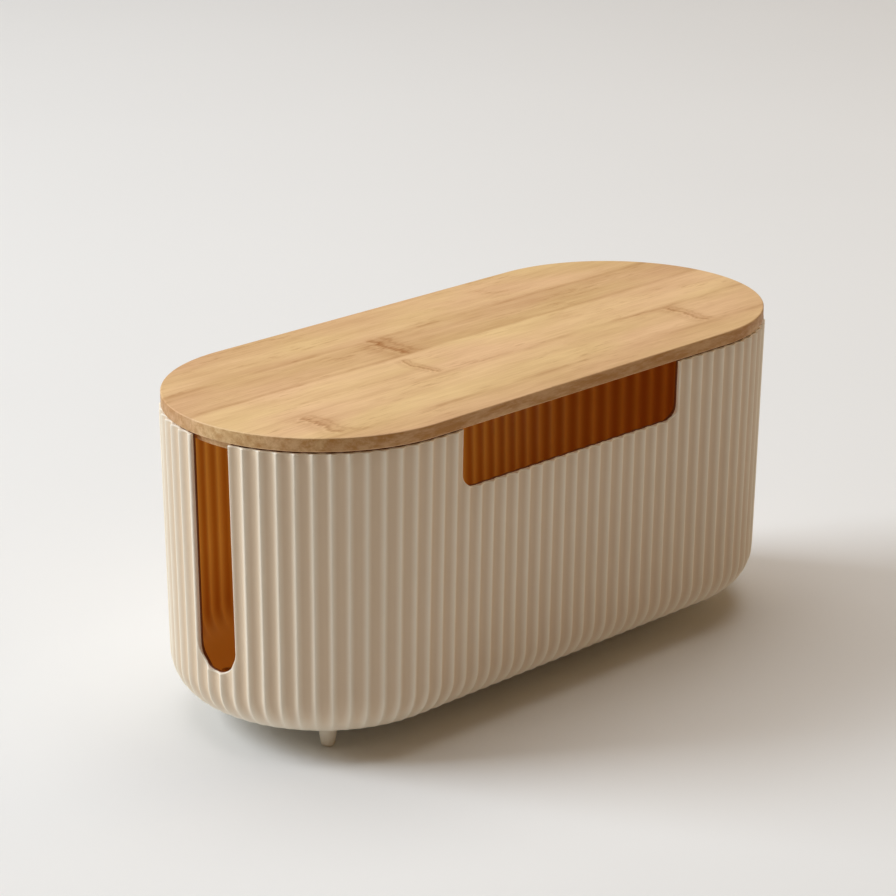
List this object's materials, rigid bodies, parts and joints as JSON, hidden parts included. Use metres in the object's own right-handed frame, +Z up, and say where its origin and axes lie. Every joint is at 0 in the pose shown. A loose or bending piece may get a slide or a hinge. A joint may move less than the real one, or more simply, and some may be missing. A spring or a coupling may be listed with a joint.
{
  "type": "cable management box",
  "caption": "Fluted oval cable management box with an amber liner, cable slots, peg feet and a lift-off bamboo lid.",
  "frame": {"origin": "centre of the box in plan, on the surface that its feet stand on", "axes": "+X along the box towards its right end, -Y out of the front wall with the long notch, +Z up"},
  "size_m": [0.3208, 0.1386, 0.146],
  "materials": {
    "shell_plastic": "satin matte",
    "liner_plastic": "satin",
    "foot_plastic": "matte",
    "bamboo": "fine sanded",
    "screw_steel": "zinc plated"
  },
  "bodies": {
    "box": {"outer_shell": "shell_plastic", "inner_liner": "liner_plastic", "foot_front_left": "foot_plastic", "foot_front_right": "foot_plastic", "foot_rear_left": "foot_plastic", "foot_rear_right": "foot_plastic", "foot_screws": "screw_steel"},
    "lid": {"lid_board": "bamboo", "lid_cleat_left": "bamboo", "lid_cleat_right": "bamboo", "cleat_screws": "screw_steel"}
  },
  "joints": [
    {"name": "lid_lift", "type": "slide", "parent": "box", "child": "lid", "axis": [0, 0, 1], "range_m": [0, 0.06]}
  ]
}
